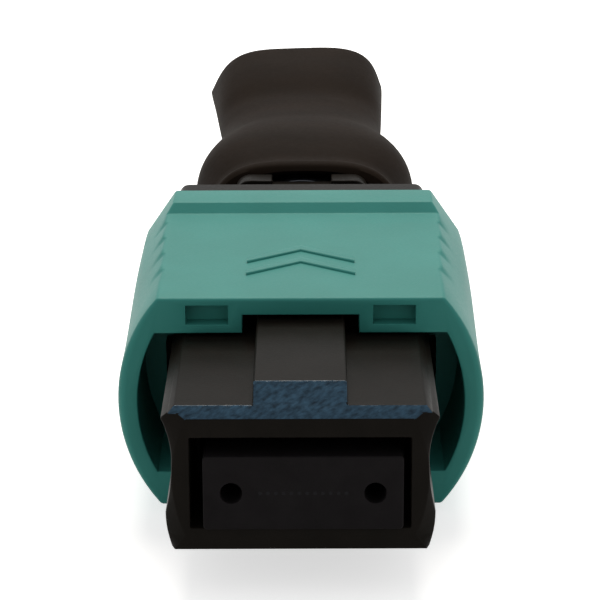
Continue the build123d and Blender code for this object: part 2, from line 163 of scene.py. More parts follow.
def oval(width, height, fullness=2.0, shift=0.0, turn=0.0, rise=0.0, taper=(0.0, 0.0)):
    """Anticlockwise oval, an ellipse at fullness 2 and squarer above it, turned by an angle. Its left and
    right halves narrow by a taper towards top and bottom, which leaves a corner at mid height."""
    steps = 96
    ring = []
    for i in range(steps):
        c, s = math.cos(2 * math.pi * i / steps), math.sin(2 * math.pi * i / steps)
        narrow = 1 - taper[c > 0] * abs(s) ** (2 / fullness)
        x = width / 2 * math.copysign(abs(c) ** (2 / fullness), c) * narrow
        z = height / 2 * math.copysign(abs(s) ** (2 / fullness), s)
        across = x * math.cos(turn) - z * math.sin(turn)
        up = x * math.sin(turn) + z * math.cos(turn)
        ring.append((shift + across, rise + up))
    return ring


def oblong(width, height, x=0.0, z=0.0):
    """Clockwise oblong about a middle."""
    half, rise = width / 2, height / 2
    return [(x + half, z + rise), (x + half, z - rise), (x - half, z - rise), (x - half, z + rise)]


def rounded(width, height, radius, x, z):
    """Clockwise oblong with rounded corners."""
    steps = 4
    ring = []
    for quarter, (i, j) in enumerate(((1, 1), (1, -1), (-1, -1), (-1, 1))):
        for k in range(steps + 1):
            turn = math.radians(90 - 90 * (quarter + k / steps))
            ring.append((
                x + i * (width / 2 - radius) + radius * math.cos(turn),
                z + j * (height / 2 - radius) + radius * math.sin(turn),
            ))
    return ring


def inward(outline, depth):
    """Clockwise outline moved in by a depth, which may differ from point to point."""
    count = len(outline)
    moved = []
    for i, (x, z) in enumerate(outline):
        before, after = outline[i - 1], outline[(i + 1) % count]
        along = Vector((after[0] - before[0], after[1] - before[1])).normalized()
        step = depth(x, z) if callable(depth) else depth
        moved.append((x + along.y * step, z - along.x * step))
    return moved


def at(y, outline):
    """Outline set across the plug at y; y may differ from point to point."""
    return [(x, y(x, z) if callable(y) else y, z) for x, z in outline]


# Meshes


def skin(name, rings, ends=False, loop=False):
    """Mesh over rings of as many points each, closed at its ends or joined back to its first ring."""
    built = bmesh.new()
    rows = [[built.verts.new(point) for point in ring] for ring in rings]
    pairs = list(zip(rows, rows[1:]))
    if loop:
        pairs.append((rows[-1], rows[0]))
    for near, far in pairs:
        for i in range(len(near)):
            j = (i + 1) % len(near)
            built.faces.new((near[i], near[j], far[j], far[i]))
    if ends:
        built.faces.new(rows[0])
        built.faces.new(rows[-1])
    bmesh.ops.recalc_face_normals(built, faces=built.faces)
    return finished_mesh(name, built)


def finished_mesh(name, built):
    """Object in the scene with the mesh that was built."""
    mesh = bpy.data.meshes.new(name)
    built.to_mesh(mesh)
    built.free()
    piece = bpy.data.objects.new(name, mesh)
    bpy.context.scene.collection.objects.link(piece)
    return piece


def cutter(outline, front, back, lip=0.0):
    """Body to cut with, from front to back, over a clockwise outline; a lip above 0 rounds the edge that it
    leaves in the face at front."""
    steps = 4
    rings = []
    if lip:
        rings.append(at(front - PAST, inward(outline, -lip)))
        for i in range(steps + 1):
            turn = math.pi / 2 * i / steps
            wider = inward(outline, -lip * (1 - math.sin(turn)))
            rings.append(at(front + lip * (1 - math.cos(turn)), wider))
    else:
        rings.append(at(front, outline))
    rings.append(at(back, outline))
    return skin("cut", rings, ends=True)


def cut_away(piece, cutters):
    """Takes each cutter out of the piece and deletes the cutters."""
    for body in cutters:
        cut = piece.modifiers.new("cut", "BOOLEAN")
        cut.operation, cut.solver, cut.object = "DIFFERENCE", "EXACT", body
    apply_modifiers(piece)
    for body in cutters:
        bpy.data.objects.remove(body)


def apply_modifiers(piece):
    """Replaces the piece's mesh by what its modifiers make of it."""
    graph = bpy.context.evaluated_depsgraph_get()
    graph.update()
    mesh = bpy.data.meshes.new_from_object(piece.evaluated_get(graph), depsgraph=graph)
    piece.modifiers.clear()
    piece.data = mesh


def shade(piece, angle=30):
    """Smooth shading, with edges sharper than the angle kept."""
    for face in piece.data.polygons:
        face.use_smooth = True
    piece.data.set_sharp_from_angle(angle=math.radians(angle))


def to_metres(piece):
    piece.data.transform(Matrix.Scale(MM, 4))


def round_edges(piece, width, angle):
    """Modifier that rounds the edges sharper than the angle, by a width in the mesh's own unit."""
    bevel = piece.modifiers.new("round", "BEVEL")
    bevel.width, bevel.segments = width, 3
    bevel.limit_method, bevel.angle_limit = "ANGLE", math.radians(angle)
    bevel.miter_outer = "MITER_ARC"
    bevel.use_clamp_overlap = False


def soften(piece, width):
    """Joins a packed solid's facets and rounds its edges, with modifiers that leave its mesh alone."""
    join_distance, flat_angle, sharp_angle = 0.0005, 0.5, 30
    weld = piece.modifiers.new("join", "WELD")
    weld.merge_threshold = join_distance * MM
    flatten = piece.modifiers.new("flatten", "DECIMATE")
    flatten.decimate_type, flatten.angle_limit = "DISSOLVE", math.radians(flat_angle)
    round_edges(piece, width * MM, sharp_angle)


def settle(piece, body, slot, *materials):
    """Puts a finished piece on its body, with its materials; its slot is not used."""
    for material in materials:
        piece.data.materials.append(material)
    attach(piece, body)
    return piece


# Materials


def add_node(material, kind, inputs=(), **settings):
    """Adds a node with its settings, and links or sets its inputs."""
    tree = material.node_tree
    node = tree.nodes.new(kind)
    for name, value in settings.items():
        setattr(node, name, value)
    for name, value in dict(inputs).items():
        if isinstance(value, bpy.types.NodeSocket):
            tree.links.new(value, node.inputs[name])
        else:
            node.inputs[name].default_value = value
    return node


def new_material(name):
    """Node material with its shader, the object's own coordinates and the output."""
    material = bpy.data.materials.new(name)
    material.use_nodes = True
    material.node_tree.nodes.clear()
    shader = add_node(material, "ShaderNodeBsdfPrincipled")
    output = add_node(material, "ShaderNodeOutputMaterial", {"Surface": shader.outputs["BSDF"]})
    place = add_node(material, "ShaderNodeTexCoord").outputs["Object"]
    return material, shader, place, output


def moulded(
    name, dark, light, roughness, specular, grain, depth, patch=2.5, uneven=0.08, stretch=1.0, spread=0.3
):
    """Moulded plastic: two close tones in soft patches and the mould's fine grain, which may be stretched
    into slanting streaks. Patch, grain and depth are in millimetres. A mould's own grain of 0.02 to 0.05 mm
    would not show, so it is drawn as coarse as it needs to show."""
    slant = math.radians(20)
    plastic_ior = 1.5
    material, shader, place, _ = new_material(name)
    tree = material.node_tree
    streaks = add_node(
        material,
        "ShaderNodeMapping",
        {"Vector": place, "Rotation": (0, 0, slant), "Scale": (stretch, 1, stretch)},
        vector_type="TEXTURE",
    )
    patches, fine = (
        add_node(
            material,
            "ShaderNodeTexNoise",
            {"Vector": streaks.outputs["Vector"], "Scale": per_metre(size), "Detail": detail},
        ).outputs["Fac"]
        for size, detail in ((patch, 3.0), (grain, 4.0))
    )
    share = add_node(
        material,
        "ShaderNodeMapRange",
        {"Value": patches, "From Min": 0.5 - spread, "From Max": 0.5 + spread},
    )
    tone = add_node(
        material,
        "ShaderNodeMix",
        {"Factor": share.outputs["Result"], "A": rgba(dark), "B": rgba(light)},
        data_type="RGBA",
    )
    gloss = add_node(
        material,
        "ShaderNodeMapRange",
        {"Value": fine, "To Min": roughness - uneven, "To Max": roughness + uneven},
    )
    bump = add_node(material, "ShaderNodeBump", {"Height": fine, "Distance": depth * MM})
    tree.links.new(tone.outputs["Result"], shader.inputs["Base Color"])
    tree.links.new(gloss.outputs["Result"], shader.inputs["Roughness"])
    tree.links.new(bump.outputs["Normal"], shader.inputs["Normal"])
    shader.inputs["IOR"].default_value = plastic_ior
    shader.inputs["Specular IOR Level"].default_value = specular
    return material


def drawn_metal(name, tone, roughness, line):
    """Metal with lines round the plug from drawing or turning, a line's width in millimetres. Real ones are
    0.005 to 0.02 mm, and are drawn as coarse as they need to show."""
    line_depth = 0.004
    material, shader, place, _ = new_material(name)
    lines = add_node(
        material,
        "ShaderNodeTexWave",
        {"Vector": place, "Scale": per_metre(line), "Distortion": 1.5, "Detail": 2.0},
        bands_direction="Y",
    )
    bump = add_node(
        material,
        "ShaderNodeBump",
        {"Height": lines.outputs["Fac"], "Distance": line_depth * MM, "Strength": 0.5},
    )
    material.node_tree.links.new(bump.outputs["Normal"], shader.inputs["Normal"])
    shader.inputs["Base Color"].default_value = rgba(tone)
    shader.inputs["Metallic"].default_value = 1.0
    shader.inputs["Roughness"].default_value = roughness
    return material


# Sizes and colours


sleeve_low, sleeve_high = corners("coupling_sleeve")
boot_low, boot_high = corners("strain_relief_boot")


def mm(name, description, default):
    """Length, written here in millimetres."""
    return FloatProperty(name=name, description=description, default=default * MM, unit="LENGTH", precision=5)


def degrees(name, description, default):
    """Angle, written here in degrees."""
    return FloatProperty(name=name, description=description, default=math.radians(default), subtype="ANGLE")


def brightness(name, description, default):
    return FloatProperty(name=name, description=description, default=default, min=0, subtype="FACTOR")


def colour(name, description, code):
    return FloatVectorProperty(name=name, description=description, default=linear(code), subtype="COLOR")


class SleeveSizes(bpy.types.PropertyGroup):
    """Sizes of the sleeve"""

    front: mm("Front", "Front edge's distance from the ferrule's face", sleeve_low.y)
    back: mm("Back", "Back edge's distance from the ferrule's face", sleeve_high.y)
    bow: mm("Half width", "Half the width across the bowed sides", sleeve_high.x)
    half: mm("Half height", "Half the height across the flats", 3.8)
    flat: mm("Half flat", "Half the width of the top flat", 4.9)
    corner: mm("Corner", "Rounding between flats and sides", 0.08)
    lean: mm("Lean", "How far the back edge stands to one side", 0.07)
    edge: mm("Edge", "Rounding of the front edge at the flats", 0.12)
    side_edge: mm("Side edge", "Rounding of the front edge at mid height", 0.3)
    back_edge: mm("Back edge", "Rounding of the back edge", 0.07)
    ridge: mm("Ridge", "Height of the ridge along the back edge", 0.35)
    ridge_flat: mm("Ridge flat", "Half the width of the ridge's top", 4.92)
    knee: mm("Ridge knee", "Half the width where the ridge's sides turn", 6.05)
    knee_height: mm("Ridge knee height", "Height where the ridge's sides turn", 2.5)
    ridge_bow: mm("Ridge half width", "Half the width across the ridge at mid height", 6.43)
    widens_from: mm("Widens from", "Place where the bowed sides start to widen", 7.8)
    widens_to: mm("Widens to", "Place where the sides have the ridge's shape", 17.0)
    ridge_length: mm("Ridge length", "Length of the ridge's flat top", 1.7)
    ridge_slope: mm("Ridge slope", "Length of the slope before the ridge", 0.36)
    grip_first: mm("First grip", "Place of the first grip step", 10.3)
    grip_pitch: mm("Grip pitch", "Distance between grip steps", 1.9)
    grip_depth: mm("Grip depth", "Depth of a grip step at the flat's edge", 0.08)
    grip_fade: mm("Grip fade", "The larger, the sooner a grip ends before mid height", 0.14)
    grip_length: mm("Grip length", "Length of a grip's slope", 1.3)
    grip_rise: mm("Grip rise", "Length of the step at the end of a grip's slope", 0.12)
    grip_count: IntProperty(name="Grips", description="Grip steps on each side", default=4)
    mouth_half: mm("Mouth half height", "Half the height of the mouth", 2.55)
    mouth_flat: mm("Mouth half flat", "Half the width of the mouth's top", 5.0)
    mouth_bow: mm("Mouth half width", "Half the width of the mouth at mid height", 5.64)
    mouth_corner: mm("Mouth corner", "Rounding of the mouth's corners", 0.03)
    mouth_depth: mm("Mouth depth", "Depth of the mouth's bowed sides", 4.5)
    mouth_lip: mm("Mouth lip", "Rounding of the mouth's edge", 0.05)
    way_width: mm("Way width", "Width of the way through behind the mouth", 9.1)
    way_start: mm("Way start", "Distance of its start from the front edge", 4.0)
    notch_width: mm("Notch width", "Width of the notch for the key", 4.0)
    notch_height: mm("Notch height", "Height of the notch above mid height", 3.2)
    notch_back: mm("Notch back", "Place where the notch ends", 12.4)
    notch_lip: mm("Notch lip", "Rounding of the notch's edge", 0.06)
    chevron_back: mm("Back chevron", "Place of the back chevron's tip", 12.9)
    chevron_front: mm("Front chevron", "Place of the front chevron's tip", 11.5)
    chevron_half: mm("Chevron half width", "Half the width of a chevron", 1.9)
    chevron_sweep: mm("Chevron sweep", "How far a chevron's ends stand before its tip", 1.5)
    chevron_end: mm("Chevron end", "Thickness of a chevron at its ends", 0.45)
    chevron_middle: mm("Chevron middle", "Thickness of a chevron at its tip", 0.55)


class FrameSizes(bpy.types.PropertyGroup):
    """Sizes of the frame and flange"""

    edge: mm("Edge", "Rounding of the frame's edges", 0.04)
    body_edge: mm("Body edge", "Rounding of the back body's edges", 0.06)
    flange_front: mm("Flange front", "Distance of its front face behind the frame", 1.88)
    flange_back: mm("Flange back", "Distance of its back face behind the frame", 3.12)
    flange_half: mm("Flange half height", "Half the height of the flange", 3.56)
    flange_corner: mm("Flange corner", "Rounding of the flange's corners", 0.3)
    flange_flat: mm("Flange flat", "Half the width of the flange where its sides end", 4.84)
    flange_side: mm("Flange side", "Height where the flange's bowed sides end", 3.3)
    flange_bow: mm("Flange half width", "Half the width of the flange at mid height", 5.32)
    flange_edge: mm("Flange edge", "Slope along the flange's edges", 0.06)
    opening_width: mm("Opening width", "Width of the opening through the flange", 4.6)
    opening_height: mm("Opening height", "Height of the opening through the flange", 5.2)


class BootSizes(bpy.types.PropertyGroup):
    """Sizes of the boot"""

    front: mm("Front", "Front of the boot's rim", boot_low.y)
    back: mm("Back", "Far end of the boot", boot_high.y)
    shift: mm("Collar shift", "How far the collar stands to one side", 0.12)
    lean: mm("Lean", "How far the tail's end stands back to the other side", -0.48)
    twist: degrees("Twist", "Turn of the tail's end", 1.6)
    hollow: mm("Hollow", "Depth of the hollow inside the rim", 2.2)
    bore: mm("Bore", "Width of the round bore behind the hollow", 5.92)
    bore_end: mm("Bore end", "Place where the bore ends", 30.8)
    tail_start: mm("Tail start", "Distance behind the rim from which the tail is measured", 0.45)
    end_edge: mm("End edge", "Rounding of the tail's end", 0.25)
    outlet_width: mm("Outlet width", "Width of the outlet in the tail", 5.2)
    outlet_height: mm("Outlet height", "Height of the outlet in the tail", 2.6)
    outlet_lip: mm("Outlet lip", "Slope along the outlet's edge", 0.1)


class SpringSizes(bpy.types.PropertyGroup):
    """Sizes of the springs"""

    main_wire: mm("Main wire", "Thickness of the main spring's wire", 0.42)
    small_wire: mm("Small wire", "Thickness of the small springs' wire", 0.2)
    main_turns: IntProperty(name="Main turns", description="Turns of the main spring", default=6)
    small_turns: IntProperty(name="Small turns", description="Turns of a small spring", default=8)


class FerruleSizes(bpy.types.PropertyGroup):
    """Sizes of the ferrule and fibres"""

    width: mm("Width", "Width of the end face", 6.4)
    height: mm("Height", "Height of the end face", 2.5)
    length: mm("Length", "Length with the shoulder", 8.0)
    shoulder: mm("Shoulder", "Place where the shoulder starts", 6.0)
    shoulder_width: mm("Shoulder width", "Width of the shoulder", 7.0)
    shoulder_height: mm("Shoulder height", "Height of the shoulder", 3.0)
    corner: mm("Corner", "Rounding of the corners along the ferrule", 0.12)
    edge: mm("Edge", "Slope along the edges of the end faces", 0.03)
    pin_hole: mm("Pin hole", "Width of a pin hole", 0.7)
    pin_place: mm("Pin hole place", "Distance of a pin hole from the middle", 2.3)
    pin_lip: mm("Pin hole lip", "Rounding of a pin hole's edge", 0.03)
    fibre: mm("Fibre", "Thickness of a fibre", 0.125)
    fibre_pitch: mm("Fibre pitch", "Distance between fibres", 0.25)
    fibre_length: mm("Fibre length", "Length of the fibre ends", 0.6)
    fibre_count: IntProperty(name="Fibres", description="Fibres in the row", default=12)


class Colours(bpy.types.PropertyGroup):
    """Colours"""

    sleeve_dark: colour("Sleeve, dark", "Deeper tone of the sleeve", "317a72")
    sleeve_light: colour("Sleeve, light", "Lighter tone of the sleeve", "36827a")
    frame_dark: colour("Frame, dark", "Deeper tone of the plug frame", "12100d")
    frame_light: colour("Frame, light", "Lighter tone of the plug frame", "191613")
    # The lead-in's blue tones are a painted reflection of a cool light above; the lighter one is for painted
    # glints
    lead_in_painted_reflection_dark: colour("Lead-in, dark", "Painted blue reflection on the lead-in, deeper tone", "0e1f2b")
    lead_in_painted_glint_light: colour("Lead-in, light", "Painted glints in the lead-in's blue reflection", "355267")
    boot_dark: colour("Boot, dark", "Deeper tone of the boot", "18130f")
    boot_light: colour("Boot, light", "Lighter tone of the boot", "201914")
    ferrule_dark: colour("Ferrule, dark", "Deeper tone of the ferrule", "151314")
    ferrule_light: colour("Ferrule, light", "Lighter tone of the ferrule", "1b191a")
    fibre_dark: colour("Fibre, dark", "Deeper tone of the fibre ends", "131214")
    fibre_light: colour("Fibre, light", "Lighter tone of the fibre ends", "18171a")
    keeper_dark: colour("Pin keeper, dark", "Deeper tone of the pin keeper", "3a3a3a")
    keeper_light: colour("Pin keeper, light", "Lighter tone of the pin keeper", "444444")
    insert_dark: colour("Insert, dark", "Deeper tone of the ferrule's rubber insert", "161616")
    insert_light: colour("Insert, light", "Lighter tone of the ferrule's rubber insert", "1e1e1e")
    spring: colour("Springs", "Tone of the spring wire", "b4b1ab")
    # The crimp ring's tone is darker than nickel: painted shade for the boot's hollow
    ring: colour("Crimp ring", "Tone of the crimp ring", "4a4d52")


class StudioSettings(bpy.types.PropertyGroup):
    """Studio"""

    overhead: brightness("Overhead light", "Brightness of the softbox overhead", 0.92)
    ambient: brightness("Ambient", "Brightness of the room's diffuse light", 0.52)
    floor_lift: brightness("Floor lift", "Brightness added to the floor where it is seen", 0.62)
    lamp_distance: mm("Lamp distance", "Distance of the softbox from the plug", 220)
    lamp_size: mm("Lamp size", "Width of the softbox", 130)
    lens: FloatProperty(name="Lens", description="Focal length of the camera", default=145.62, unit="CAMERA")
    camera_x: mm("Camera, right", "Distance of the camera to the right", 0.34)
    camera_y: mm("Camera, back", "Distance of the camera behind the ferrule's face", -71.25)
    camera_z: mm("Camera, up", "Distance of the camera above the axis", 30.0)
    yaw: degrees("Yaw", "Turn of the camera to the right", -0.26)
    pitch: degrees("Pitch", "Turn of the camera upwards", -18.55)
    roll: degrees("Roll", "Turn of the camera about its own view", -0.28)


# Operators


class PLUG_OT_sleeve(bpy.types.Operator):
    """Sliding sleeve: a barrel with a ridge, grip steps, a mouth, the notch for the key and a pull mark"""

    bl_idname = "plug.sleeve"
    bl_label = "Sleeve"

    def rounded_end(self, y, inwards, outline, edge, side_edge):
        """Rings that round the edge between an end face and the outside; inwards is 1 in front, -1 behind."""
        steps = 6
        half = max(z for _, z in outline)

        def radius(z):
            return edge + (side_edge - edge) * max(1 - (z / half) ** 2, 0)

        rings = []
        for i in range(steps + 1):
            turn = math.pi / 2 * i / steps
            ring = inward(outline, lambda x, z: radius(z) * (1 - math.sin(turn)))
            rings.append(at(lambda x, z: y + inwards * radius(z) * (1 - math.cos(turn)), ring))
        return rings if inwards > 0 else rings[::-1]

    def outside(self, s):
        """Rings of the outside, front to back; the bowed sides take the ridge's shape on their way back."""
        grip_steps = 4

        def ridge_side(z):
            if z < s.knee_height:
                return bowed_x(z, s.knee, s.knee_height, s.ridge_bow)
            way = (z - s.knee_height) / (s.half + s.ridge - s.knee_height)
            return s.knee + (s.ridge_flat - s.knee) * way

        def side(y, depth):
            way = min(max((y - s.widens_from) / (s.widens_to - s.widens_from), 0), 1)
            share = way * way * (3 - 2 * way)

            def width(z):
                plain = bowed_x(z, s.flat, s.half, s.bow)
                grip = bowed_x(z, s.flat - depth, s.half, s.bow + s.grip_fade) if depth else plain
                return plain + share * (ridge_side(z) - plain) + min(grip - plain, 0)

            return width

        def body(y, depth=0.0):
            return barrel(s.half, s.corner, side(y, depth))

        rings = self.rounded_end(s.front, 1, body(s.front), s.edge, s.side_edge)
        for i in range(s.grip_count):
            step = s.grip_first + i * s.grip_pitch
            for j in range(grip_steps + 1):
                share = j / grip_steps
                y = step - (1 - share) * s.grip_length
                rings.append(at(y, body(y, share * s.grip_depth)))
            rings.append(at(step + s.grip_rise, body(step + s.grip_rise)))
        last = body(s.back)
        ridge = barrel(s.half + s.ridge, s.corner, ridge_side)
        slope = s.back - s.ridge_length - s.ridge_slope
        # Way along the slope and share of its rise, with a small rounding at its foot and top
        steps = ((-0.08, 0.0), (0.0, 0.015), (0.08, 0.08), (0.92, 0.92), (1.0, 0.985), (1.08, 1.0))
        for share, rise in steps:
            outline = [(a + rise * (c - a), b + rise * (d - b)) for (a, b), (c, d) in zip(last, ridge)]
            rings.append(at(slope + share * s.ridge_slope, outline))
        rings += self.rounded_end(s.back, -1, ridge, s.back_edge, s.back_edge)
        length = s.back - s.front
        return [[(x + s.lean * (y - s.front) / length, y, z) for x, y, z in ring] for ring in rings]

    def openings(self, s):
        """Cutters of the mouth, the way through, the key's notch, the spring pockets and the face hollows."""
        mouth = barrel(
            s.mouth_half, s.mouth_corner, lambda z: bowed_x(z, s.mouth_flat, s.mouth_half, s.mouth_bow)
        )
        notch = oblong(s.notch_width, s.notch_height, z=s.notch_height / 2)
        cutters = [
            cutter(mouth, s.front, s.front + s.mouth_depth, lip=s.mouth_lip),
            cutter(oblong(s.way_width, 2 * s.mouth_half), s.front + s.way_start, s.back + PAST),
            cutter(notch, s.front, s.notch_back, lip=s.notch_lip),
        ]
        # Width, height, place across and up, front, back and lip of a spring pocket and of a face hollow
        pairs = (
            (1.71, 1.52, 4.855, 0.0, 12.2, s.back + PAST, 0.0),
            (1.45, 0.68, 3.2, 3.2, s.front, s.front + 0.6, 0.03),
        )
        for side in (-1, 1):
            for width, height, across, up, front, back, lip in pairs:
                cutters.append(cutter(oblong(width, height, side * across, up), front, back, lip))
        return cutters

    def chevron(self, name, s, tip):
        """Raised chevron on the top flat, which points back to its tip."""
        start = tip - s.chevron_sweep
        wing = [(s.chevron_half, start), (s.chevron_half, start - s.chevron_end)]
        outline = [(0, tip), *wing, (0, tip - s.chevron_middle), *((-x, y) for x, y in reversed(wing))]
        rings = []
        # Height over the flat and inset of each ring
        for height, inset in ((-0.05, 0.0), (0.03, 0.0), (0.07, 0.02), (0.09, 0.07)):
            rings.append([(x, y, s.half + height) for x, y in inward(outline, inset)])
        return skin(name, rings, ends=True)

    def execute(self, context):
        s = sizes_of(context.scene.plug_sleeve)
        c = context.scene.plug_colours
        sleeve = skin("outer_sleeve", self.outside(s), ends=True)
        cut_away(sleeve, self.openings(s))
        shade(sleeve, angle=32)
        to_metres(sleeve)
        # ABS, injection moulded in a lightly spark-eroded mould: a satin sea green with a fine grain
        green = moulded(
            "Sea green ABS, moulded", c.sleeve_dark, c.sleeve_light,
            roughness=0.47, specular=0.13, grain=0.1, depth=0.004,
        )
        settle(sleeve, "sleeve", "sleeve", green)
        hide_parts("coupling_sleeve")

        # Raised pull mark, moulded with the sleeve: two chevrons that point back
        for name, tip in (("pull_chevron_back", s.chevron_back), ("pull_chevron_front", s.chevron_front)):
            mark = self.chevron(name, s, tip)
            shade(mark, angle=60)
            to_metres(mark)
            settle(mark, "sleeve", "sleeve", green)
        return {"FINISHED"}


class PLUG_OT_frame(bpy.types.Operator):
    """Keyed plug frame with rounded edges and a polished lead-in, whose blue tone is a painted reflection,
    the flange behind it and the back body
    """

    bl_idname = "plug.frame"
    bl_label = "Plug frame"

    def keyed_frame(self, s):
        """The packed frame with its facets joined and its edges rounded; the slopes of its nose and key take
        the second material, with its painted blue reflection and painted glints."""
        join_distance, flat_angle, sharp_angle, facing = 0.01, 0.5, 28, 0.99
        built = bmesh.new()
        built.from_mesh(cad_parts["plug_frame"].data)
        bmesh.ops.scale(built, vec=(1 / MM,) * 3, verts=built.verts)
        bmesh.ops.remove_doubles(built, verts=built.verts, dist=join_distance)
        bmesh.ops.dissolve_limit(
            built, angle_limit=math.radians(flat_angle), verts=built.verts, edges=built.edges
        )
        # Faces that look up and forward take the second material, whose blue tone is a painted reflection
        slope = Vector((0, -1, 1)).normalized()
        for face in built.faces:
            face.material_index = 1 if face.normal.dot(slope) > facing else 0
        piece = finished_mesh("keyed_frame", built)
        round_edges(piece, s.edge, sharp_angle)
        apply_modifiers(piece)
        return piece

    def flange_rim(self, s):
        """Plate across the back body, with sloped edges and an opening through it."""
        _, high = corners("plug_frame")
        front, back = high.y + s.flange_front, high.y + s.flange_back
        outline = barrel(
            s.flange_half, s.flange_corner, lambda z: bowed_x(z, s.flange_flat, s.flange_side, s.flange_bow)
        )
        small = inward(outline, s.flange_edge)
        rings = [
            at(front, small),
            at(front + s.flange_edge, outline),
            at(back - s.flange_edge, outline),
            at(back, small),
        ]
        piece = skin("flange_rim", rings, ends=True)
        cut_away(piece, [cutter(oblong(s.opening_width, s.opening_height), front - PAST, back + PAST)])
        return piece

    def execute(self, context):
        s = sizes_of(context.scene.plug_frame)
        c = context.scene.plug_colours
        # PBT, injection moulded: matt, nearly black, with a warm tone in light
        matt = moulded(
            "Black PBT, moulded", c.frame_dark, c.frame_light,
            roughness=0.36, specular=0.03, grain=0.12, depth=0.005, patch=1.2,
        )
        # The same plastic where the mould was polished: it catches the light in real glints. Its blue tones
        # are a painted reflection of a cool light above, and its lighter slanting streaks, drawn as 0.1 mm
        # patches, are painted glints
        polished = moulded(
            "Black PBT, lead-in with painted reflection", c.lead_in_painted_reflection_dark, c.lead_in_painted_glint_light,
            roughness=0.24, specular=0.12, grain=0.08, depth=0.02,
            patch=0.1, uneven=0.1, stretch=2.4, spread=0.26,
        )
        piece = self.keyed_frame(s)
        shade(piece)
        to_metres(piece)
        settle(piece, "housing", "frame", matt, polished)
        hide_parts("plug_frame")

        flange = self.flange_rim(s)
        shade(flange)
        to_metres(flange)
        settle(flange, "housing", "body", matt)

        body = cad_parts["back_body"]
        soften(body, s.body_edge)
        for slot in body.material_slots:
            slot.material = matt
        return {"FINISHED"}


class PLUG_OT_boot(bpy.types.Operator):
    """Strain relief boot: rim, round collar and a tail that flattens out"""

    bl_idname = "plug.boot"
    bl_label = "Boot"

    # Widths and heights of the tail, evenly spaced from the collar to its end
    widths = (7.8, 9.4, 8.95, 7.7, 7.5, 7.95, 8.45, 8.9)
    heights = (6.95, 7.3, 7.4, 7.15, 6.65, 5.95, 5.2, 4.6, 4.1, 3.75, 3.55, 4.1, 4.38, 4.42, 4.42)
    # How much the left and right sides of the tail's end narrow towards top and bottom
    end_taper = (0.25, 0.15)

    def collar(self, s):
        """Rings from the bore out through the hollow, over the rim and back along the collar."""
        rings = [at(s.bore_end, oval(s.bore, s.bore)), at(s.front + s.hollow, oval(s.bore, s.bore))]
        # Distance behind the rim, width, height, fullness and share of the shift
        for y, width, height, fullness, share in (
            (1.2, 6.3, 6.0, 2.6, 0.5),
            (0.25, 7.1, 6.35, 2.6, 1.0),
            (0.0, 7.5, 6.7, 2.8, 1.0),
            (0.06, 7.85, 7.05, 3.3, 1.0),
            (0.2, 8.05, 7.25, 3.3, 1.0),
            (0.45, 8.1, 7.3, 3.3, 1.0),
            (0.7, 8.05, 7.25, 3.3, 1.0),
            (0.95, 7.9, 7.08, 3.3, 1.0),
        ):
            rings.append(at(s.front + y, oval(width, height, fullness, share * s.shift)))
        return rings

    def tail(self, s):
        """Rings along the tail: squarish at the collar, rounder along its middle and squarer again at its
        end, where its sides taper; it leans and twists more and more."""
        steps, first = 72, 3
        at_collar, drop, drop_rate, gain = 3.4, 1.1, 1.6, 1.7
        start = s.front + s.tail_start
        length = s.back - s.end_edge - start
        rings = []
        for i in range(first, steps + 1):
            share = i / steps
            width = smooth_value(self.widths, share * (len(self.widths) - 1))
            height = smooth_value(self.heights, share * (len(self.heights) - 1))
            near_end = share**6
            fullness = at_collar - drop * min(drop_rate * share, 1) + gain * near_end
            middle = s.shift + share**2 * s.lean
            taper = [near_end * most for most in self.end_taper]
            outline = oval(width, height, fullness, middle, share**2 * s.twist, taper=taper)
            rings.append(at(start + share * length, outline))
        return rings

    def tail_end(self, s):
        """Rings round the edge of the tail's end and into the outlet."""
        end_fullness, lip_fullness = 4.0, 2.1
        middle = s.shift + s.lean
        rings = []
        # Distance before the end, and inset
        for before, inset in ((0.15, 0.02), (0.06, 0.09), (0.0, s.end_edge)):
            width, height = self.widths[-1] - 2 * inset, self.heights[-1] - 2 * inset
            outline = oval(width, height, end_fullness, middle, s.twist, taper=self.end_taper)
            rings.append(at(s.back - before, outline))
        outlet = (s.outlet_width, s.outlet_height)
        lip = [size + 2 * s.outlet_lip for size in outlet]
        rings.append(at(s.back, oval(*lip, lip_fullness, middle, s.twist)))
        rings.append(at(s.back - s.outlet_lip, oval(*outlet, shift=middle, turn=s.twist)))
        rings.append(at(s.bore_end, oval(*outlet)))
        return rings

    def execute(self, context):
        s = sizes_of(context.scene.plug_boot)
        c = context.scene.plug_colours
        boot = skin("boot_shell", self.collar(s) + self.tail(s) + self.tail_end(s), loop=True)
        shade(boot, angle=40)
        to_metres(boot)
        # Thermoplastic rubber, injection moulded: soft brownish black with a dull sheen
        rubber = moulded(
            "Black rubber, moulded", c.boot_dark, c.boot_light,
            roughness=0.62, specular=0.012, grain=0.2, depth=0.004,
        )
        settle(boot, "housing", "boot", rubber)
        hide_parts("strain_relief_boot")
        return {"FINISHED"}


